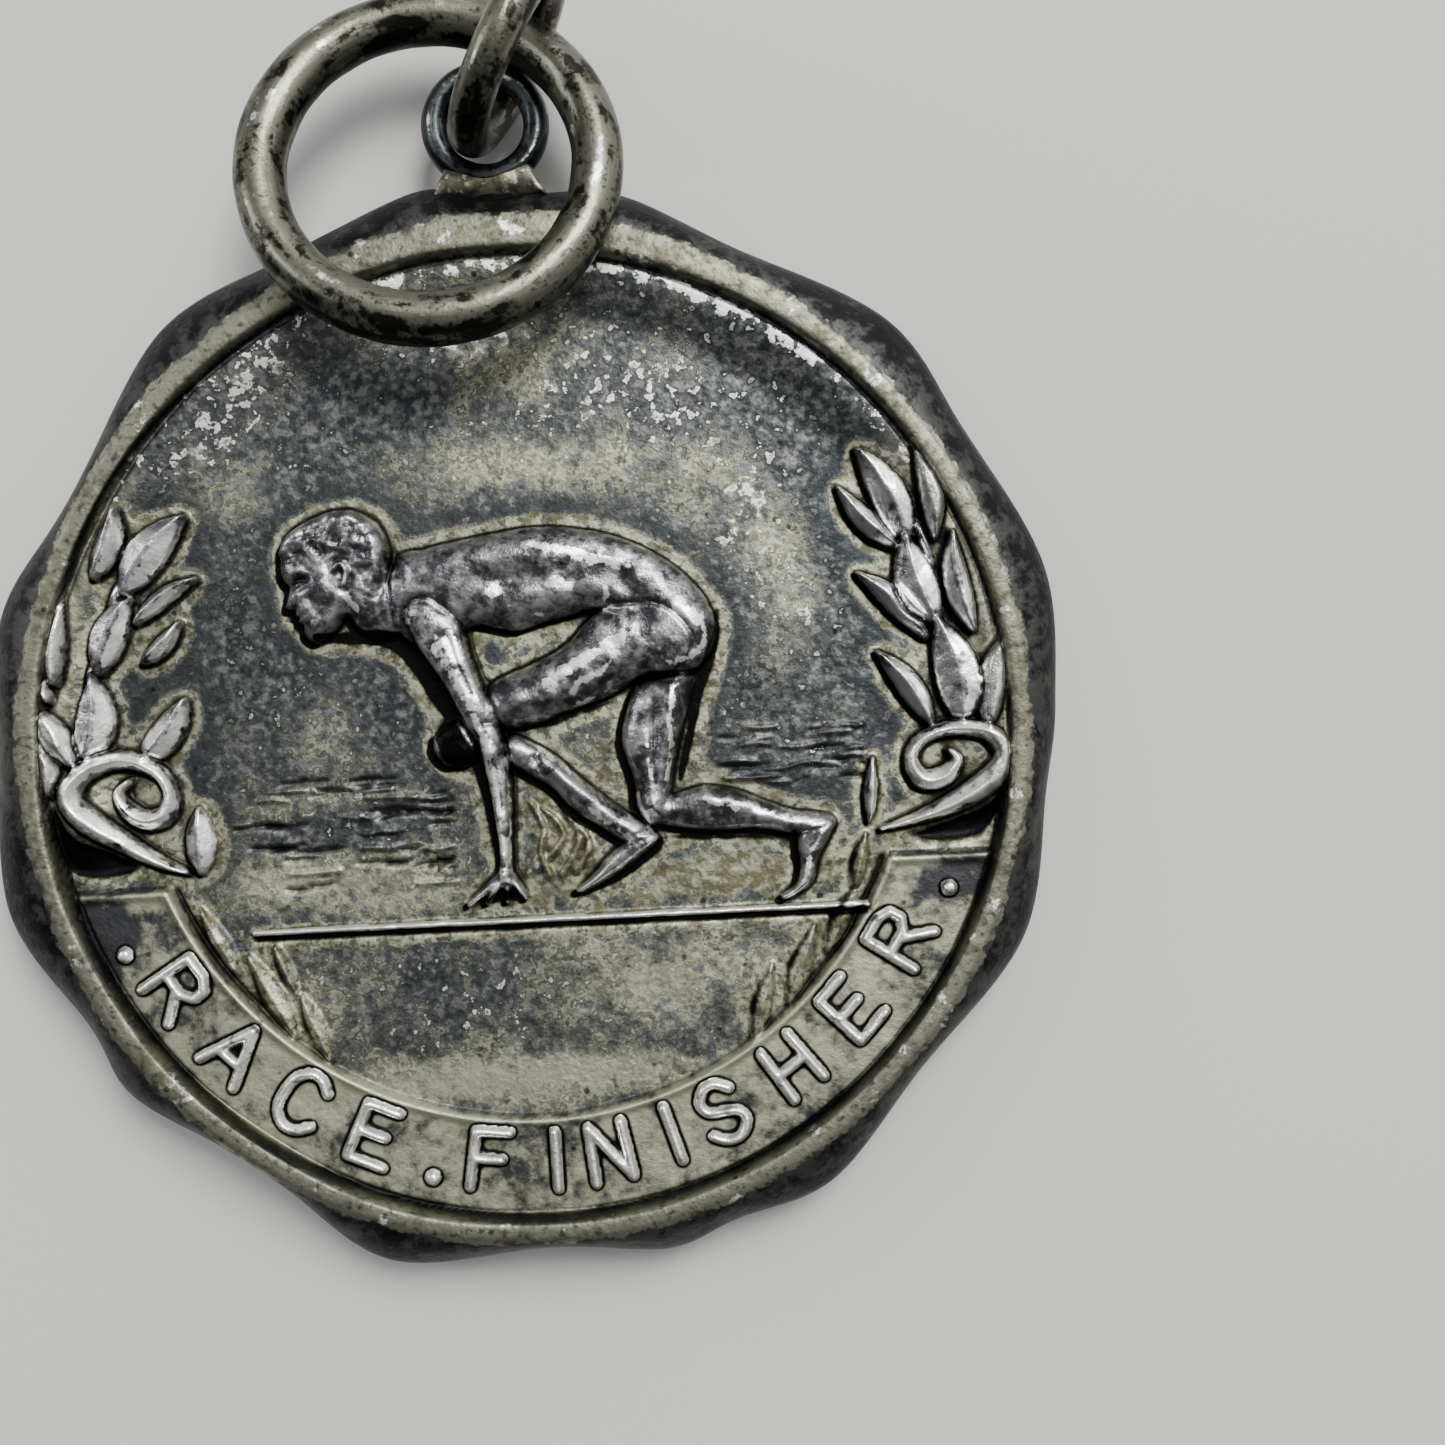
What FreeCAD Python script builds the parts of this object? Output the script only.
import FreeCAD, Part
import math
import os
import Sketcher

doc = FreeCAD.newDocument("finisher_medal")
V = FreeCAD.Vector

# ---------------------------------------------------------------- driving dimensions, millimetres
sheet = doc.addObject("Spreadsheet::Sheet", "sizes")
SIZES = [
    ("disc_radius", 14.37, "mean radius of the scalloped edge"),
    ("rim_height", 2.45, "back face to the top of the rim"),
    ("edge_height", 1.45, "back face to the foot of the rim's outer slope"),
    ("field_height", 1.6, "back face to the sunk field"),
    ("rim_outer", 13.45, "outer radius of the rim's flat crest"),
    ("rim_inner", 12.9, "inner radius of the rim's flat crest"),
    ("field_radius", 12.6, "radius where the field meets the rim"),
    ("banner_inner", 10.2, "inner radius of the lettering banner"),
    ("banner_outer", 12.65, "outer radius of the lettering banner"),
    ("banner_height", 1.85, "back face to the banner's top"),
    ("relief_rise", 0.7, "height of the boldest relief above the field"),
    ("leaf_rise", 0.55, "height of a leaf above the field"),
    ("leaf_width", 1.0, "width of a broad leaf"),
    ("ground_y", -5.05, "height of the ground line on the face"),
    ("ground_width", 0.24, "width of the ground line"),
    ("eyelet_centre", 16.08, "disc centre to eyelet centre"),
    ("eyelet_level", 1.52, "back face to the eyelet's mid plane"),
    ("eyelet_radius", 1.36, "eyelet, centre to wire centre"),
    ("eyelet_wire", 0.36, "eyelet wire radius"),
    ("solder_foot", 1.7, "half width of the solder where it meets the disc's edge"),
    ("solder_neck", 1.4, "half width of the solder where it meets the eyelet"),
    ("solder_depth", 0.68, "thickness of the solder, front to back"),
    ("link_radius", 2.25, "connecting link, centre to wire centre"),
    ("link_wire", 0.54, "connecting link wire radius"),
    ("link_slit", 0.05, "gap where the link's cut ends meet"),
    ("ring_radius", 4.3, "suspension ring, centre to wire centre"),
    ("ring_wire", 0.7, "suspension ring wire radius"),
]
for row, (alias, value, note) in enumerate(SIZES, start=1):
    sheet.set(f"A{row}", alias)
    sheet.set(f"B{row}", str(value))
    sheet.set(f"C{row}", note)
    sheet.setAlias(f"B{row}", alias)
doc.recompute()


def size(alias):
    return float(getattr(sheet, alias))


def plane(body, role):
    return next(f for f in body.Origin.OriginFeatures if f.Role == role)


def new_sketch(body, name, role):
    made = body.newObject("Sketcher::SketchObject", name)
    made.AttachmentSupport = [(plane(body, role), "")]
    made.MapMode = "FlatFace"
    return made


def add_outline(sketch, points):
    """A closed polygon of straight lines, joined corner to corner."""
    first = sketch.GeometryCount
    for i, start in enumerate(points):
        end = points[(i + 1) % len(points)]
        sketch.addGeometry(Part.LineSegment(V(*start, 0), V(*end, 0)), False)
    for i in range(len(points)):
        after = first + (i + 1) % len(points)
        sketch.addConstraint(Sketcher.Constraint("Coincident", first + i, 2, after, 1))


# ---------------------------------------------------------------- struck blank
# Edge of the blank: (angle from +X in degrees, swell above or below the mean radius), lobe and dip in turn.
SCALLOPS = [
    (0, -0.1), (14, 0.25), (31, -0.09), (45, 0.32), (63, -0.27), (76, 0.19), (84, 0.05), (90, -0.13),
    (97, 0.35), (107, -0.02), (114, -0.17), (129, 0.1), (149, -0.76), (164, -0.02), (179, -0.3),
    (196, 0.27), (211, -0.3), (220, -0.03), (235, -0.76), (252, 0.27), (270, -0.54),
    (282, 0.04), (290, -0.09), (301, 0.24), (316, -0.4), (334, 0.12), (350, -0.29),
]
blank = doc.addObject("PartDesign::Body", "medal_blank")
edge_sketch = new_sketch(blank, "edge_sketch", "XY_Plane")
edge_points = []
for angle, swell in SCALLOPS:
    reach = size("disc_radius") + swell
    edge_points.append(V(reach * math.cos(math.radians(angle)), reach * math.sin(math.radians(angle)), 0))
edge_curve = Part.BSplineCurve()
edge_curve.interpolate(Points=edge_points, PeriodicFlag=True)
edge_sketch.addGeometry(edge_curve, False)
edge_pad = blank.newObject("PartDesign::Pad", "edge_pad")
edge_pad.Profile = edge_sketch
edge_pad.setExpression("Length", "sizes.rim_height")
doc.recompute()

# The rim stands up between a sloped outer shoulder and the sunk field.
rim_sketch = new_sketch(blank, "rim_sketch", "XZ_Plane")
above = size("rim_height") + 0.3
shoulder_run = size("disc_radius") - size("rim_outer")
shoulder_drop = size("rim_height") - size("edge_height")
past_edge = size("rim_outer") + 2.0 * shoulder_run
shoulder_end = size("rim_height") - 2.0 * shoulder_drop
add_outline(rim_sketch, [
    (size("rim_outer"), size("rim_height")),
    (past_edge, shoulder_end),
    (past_edge, above),
    (size("rim_outer"), above),
])
add_outline(rim_sketch, [
    (0.0, size("field_height")),
    (size("field_radius"), size("field_height")),
    (size("rim_inner"), size("rim_height")),
    (size("rim_inner"), above),
    (0.0, above),
])
rim_groove = blank.newObject("PartDesign::Groove", "rim_groove")
rim_groove.Profile = rim_sketch
rim_groove.ReferenceAxis = (rim_sketch, ["V_Axis"])
rim_groove.Angle = 360.0
doc.recompute()

# Banner round the bottom, between its two square ends.
BANNER_START = 197.5
BANNER_END = 342.0
banner_sketch = new_sketch(blank, "banner_sketch", "XY_Plane")
inner = size("banner_inner")
outer = size("banner_outer")
start_angle = math.radians(BANNER_START)
end_angle = math.radians(BANNER_END)


def polar(radius, angle):
    return V(radius * math.cos(angle), radius * math.sin(angle), 0)


for radius in (inner, outer):
    circle = Part.Circle(V(0, 0, 0), V(0, 0, 1), radius)
    banner_sketch.addGeometry(Part.ArcOfCircle(circle, start_angle, end_angle), False)
banner_sketch.addGeometry(Part.LineSegment(polar(inner, start_angle), polar(outer, start_angle)), False)
banner_sketch.addGeometry(Part.LineSegment(polar(inner, end_angle), polar(outer, end_angle)), False)
banner_sketch.addConstraint(Sketcher.Constraint("Coincident", 2, 1, 0, 1))
banner_sketch.addConstraint(Sketcher.Constraint("Coincident", 2, 2, 1, 1))
banner_sketch.addConstraint(Sketcher.Constraint("Coincident", 3, 1, 0, 2))
banner_sketch.addConstraint(Sketcher.Constraint("Coincident", 3, 2, 1, 2))
inner_size = banner_sketch.addConstraint(Sketcher.Constraint("Radius", 0, inner))
outer_size = banner_sketch.addConstraint(Sketcher.Constraint("Radius", 1, outer))
banner_sketch.setExpression(f"Constraints[{inner_size}]", "sizes.banner_inner")
banner_sketch.setExpression(f"Constraints[{outer_size}]", "sizes.banner_outer")
banner_pad = blank.newObject("PartDesign::Pad", "banner_pad")
banner_pad.Profile = banner_sketch
banner_pad.setExpression("Length", "sizes.banner_height")
doc.recompute()

# The straight line of ground under the runner.
ground_sketch = new_sketch(blank, "ground_sketch", "XY_Plane")
ground_low = size("ground_y") - size("ground_width") / 2
ground_high = size("ground_y") + size("ground_width") / 2
add_outline(ground_sketch, [(-7.4, ground_low), (8.7, ground_low), (8.7, ground_high), (-7.4, ground_high)])
ground_pad = blank.newObject("PartDesign::Pad", "ground_pad")
ground_pad.Profile = ground_sketch
ground_pad.setExpression("Length", "sizes.banner_height")
blank.Tip = ground_pad
doc.recompute()

relief = [blank]


def dome(name, x, y, long_size, wide_size, angle, rise):
    """One swelling of the relief: half of an ellipsoid standing out of the field."""
    made = doc.addObject("Part::Ellipsoid", name)
    made.setExpression("Radius1", rise)
    made.Radius2 = long_size / 2
    made.Radius3 = wide_size / 2
    made.Placement = FreeCAD.Placement(V(x, y, size("field_height")), FreeCAD.Rotation(V(0, 0, 1), angle))
    made.setExpression("Placement.Base.z", "sizes.field_height")
    relief.append(made)


# Crouching runner, facing -X: (name, x, y, length, width, angle)
RUNNER = [
    ("head", -4.6, 4.4, 3.2, 2.7, 70),
    ("neck", -3.2, 3.6, 1.8, 1.5, 10),
    ("chest", -0.9, 3.6, 4.4, 3.0, -10),
    ("back", 2.0, 3.6, 6.0, 3.0, -15),
    ("hip", 3.9, 2.4, 2.8, 2.9, 0),
    ("upper_arm", -1.45, 1.4, 3.2, 0.95, 112),
    ("forearm", -0.72, -1.7, 3.8, 0.7, 96),
    ("near_hand", -0.75, -4.1, 1.5, 0.7, 30),
    ("front_thigh", 1.7, 1.4, 5.2, 1.8, 24),
    ("front_shin", 1.6, -1.9, 4.2, 1.0, -43),
    ("front_foot", 2.3, -3.7, 2.4, 0.75, 35),
    ("rear_thigh", 3.6, -0.4, 4.0, 1.5, 82),
    ("rear_shin", 5.8, -2.5, 4.6, 1.0, -14),
    ("rear_foot", 7.7, -3.8, 2.2, 0.7, 66),
]
for name, x, y, long_size, wide_size, angle in RUNNER:
    dome(f"runner_{name}", x, y, long_size, wide_size, angle, "sizes.relief_rise")

# Laurel leaves: (x, y, length, part of a broad leaf's width, angle)
LEAVES = [
    (-9.4, 0.6, 1.9, 0.9, 50), (-11.3, 1.0, 2.1, 1.0, 95), (-12.6, 0.5, 2.9, 0.9, 110),
    (-9.35, 5.3, 2.2, 1.0, 47), (-10.4, 5.5, 1.8, 0.9, 70), (-9.1, 4.0, 1.9, 0.6, 32),
    (-10.65, 3.2, 1.8, 1.0, 60), (-11.9, 3.2, 2.4, 0.9, 84),
    (9.8, 5.7, 2.3, 1.0, 114), (10.85, 5.8, 2.4, 0.9, 100), (10.75, 3.4, 2.1, 1.1, 104),
    (9.9, 2.6, 2.3, 0.7, 133), (11.8, 3.2, 2.4, 0.9, 96), (11.35, 0.9, 2.4, 1.1, 98),
    (10.15, 0.5, 2.2, 0.8, 126), (12.5, 0.6, 2.4, 0.8, 80),
]
for number, (x, y, long_size, share, angle) in enumerate(LEAVES, start=1):
    dome(f"leaf_{number:02d}", x, y, long_size, share * size("leaf_width"), angle, "sizes.leaf_rise")

# A scroll closes the foot of each branch: (x, y, radius to the band's centre, band radius)
for name, x, y, coil, band in (("left", -10.45, -1.15, 0.95, 0.24), ("right", 11.3, -1.5, 1.0, 0.24)):
    scroll = doc.addObject("Part::Torus", f"scroll_{name}")
    scroll.Radius1 = coil
    scroll.Radius2 = band
    scroll.Placement.Base = V(x, y, size("field_height"))
    scroll.setExpression("Placement.Base.z", "sizes.field_height + 0.1")
    relief.append(scroll)

disc = doc.addObject("Part::MultiFuse", "struck_disc")
disc.Shapes = relief
disc.Label = "medal_disc"
doc.recompute()

# ---------------------------------------------------------------- eyelet and its solder
eyelet = doc.addObject("Part::Torus", "eyelet_wire_ring")
eyelet.Label = "eyelet"
eyelet.setExpression("Radius1", "sizes.eyelet_radius")
eyelet.setExpression("Radius2", "sizes.eyelet_wire")
eyelet.setExpression("Placement.Base.y", "sizes.eyelet_centre")
eyelet.setExpression("Placement.Base.z", "sizes.eyelet_level")

# The solder fills the corners between the eyelet and the edge, with hollow flanks that spread at the foot.
SOLDER_LOW = 14.0
SOLDER_EDGE = 14.45
SOLDER_TOP = 15.04
foot = size("solder_foot")
neck = size("solder_neck")
flank = V((foot + 2 * neck) / 3, (2 * SOLDER_EDGE + SOLDER_TOP) / 3, 0)
solder_block = doc.addObject("PartDesign::Body", "solder_block")
solder_sketch = new_sketch(solder_block, "solder_sketch", "XY_Plane")
corners = [V(-foot, SOLDER_LOW, 0), V(foot, SOLDER_LOW, 0), V(foot, SOLDER_EDGE, 0),
           V(neck, SOLDER_TOP, 0), V(-neck, SOLDER_TOP, 0), V(-foot, SOLDER_EDGE, 0)]
solder_edges = [
    Part.LineSegment(corners[0], corners[1]),
    Part.LineSegment(corners[1], corners[2]),
    Part.Arc(corners[2], flank, corners[3]),
    Part.LineSegment(corners[3], corners[4]),
    Part.Arc(corners[4], V(-flank.x, flank.y, 0), corners[5]),
    Part.LineSegment(corners[5], corners[0]),
]
for edge in solder_edges:
    solder_sketch.addGeometry(edge, False)
solder_pad = solder_block.newObject("PartDesign::Pad", "solder_pad")
solder_pad.Profile = solder_sketch
solder_pad.setExpression("Length", "sizes.solder_depth")
solder_pad.Midplane = True
solder_block.setExpression("Placement.Base.z", "sizes.eyelet_level")
doc.recompute()
eyelet_bore = doc.addObject("Part::Cylinder", "eyelet_bore")
eyelet_bore.setExpression("Radius", "sizes.eyelet_radius")
eyelet_bore.setExpression("Height", "2 * sizes.solder_depth")
eyelet_bore.setExpression("Placement.Base.y", "sizes.eyelet_centre")
eyelet_bore.setExpression("Placement.Base.z", "sizes.eyelet_level - sizes.solder_depth")
solder_seat = doc.addObject("Part::MultiFuse", "solder_seat")
solder_seat.Shapes = [disc, eyelet, eyelet_bore]
solder = doc.addObject("Part::Cut", "solder_cut")
solder.Label = "solder_fillet"
solder.Base = solder_block
solder.Tool = solder_seat
doc.recompute()

# ---------------------------------------------------------------- connecting link, standing on edge
LINK_CENTRE = V(0.877, 17.347, 2.8)
LINK_YAW = math.radians(30.6)
LINK_LEAN = math.radians(-7.8)
link_axis = V(
    math.cos(LINK_YAW) * math.cos(LINK_LEAN),
    -math.sin(LINK_YAW) * math.cos(LINK_LEAN),
    math.sin(LINK_LEAN),
)
link_turn = FreeCAD.Rotation(V(0, 0, 1), link_axis)
link_wire = doc.addObject("Part::Torus", "link_wire_ring")
link_wire.setExpression("Radius1", "sizes.link_radius")
link_wire.setExpression("Radius2", "sizes.link_wire")
link_cutter = doc.addObject("Part::Box", "link_cutter")
link_cutter.setExpression("Length", "sizes.link_slit")
link_cutter.Width = 4 * size("link_wire")
link_cutter.Height = 4 * size("link_wire")
link_cutter.Placement.Base = V(-size("link_slit") / 2, size("link_radius") - 2 * size("link_wire"),
                               -2 * size("link_wire"))
link = doc.addObject("Part::Cut", "link_cut")
link.Label = "connecting_link"
link.Base = link_wire
link.Tool = link_cutter
link.Placement = FreeCAD.Placement(LINK_CENTRE, link_turn)

# ---------------------------------------------------------------- suspension ring, lying over the rim
RING_CENTRE = V(-1.285, 14.558, 3.0)
RING_LEAN = V(0.031, 0.22, 1.0)
ring = doc.addObject("Part::Torus", "suspension_wire_ring")
ring.Label = "suspension_ring"
ring.setExpression("Radius1", "sizes.ring_radius")
ring.setExpression("Radius2", "sizes.ring_wire")
ring.Placement = FreeCAD.Placement(RING_CENTRE, FreeCAD.Rotation(V(0, 0, 1), RING_LEAN))
doc.recompute()

# ---------------------------------------------------------------- checks and files
for item in doc.Objects:
    for flag in ("Invalid", "Error"):
        if flag in item.State:
            raise RuntimeError(f"{item.Label} is {flag}")

os.makedirs("parts", exist_ok=True)
for node in (disc, eyelet, solder, link, ring):
    shape = node.Shape
    if shape.isNull() or not shape.isValid():
        raise RuntimeError(f"{node.Label} has no valid shape")
    if len(shape.Solids) != 1:
        raise RuntimeError(f"{node.Label} has {len(shape.Solids)} solids")
    box = shape.BoundBox
    print(f"{node.Label}: {shape.Volume:.2f} mm3, x {box.XMin:.2f} {box.XMax:.2f}, "
          f"y {box.YMin:.2f} {box.YMax:.2f}, z {box.ZMin:.2f} {box.ZMax:.2f}")
    shape.exportStep(f"parts/{node.Label}.step")
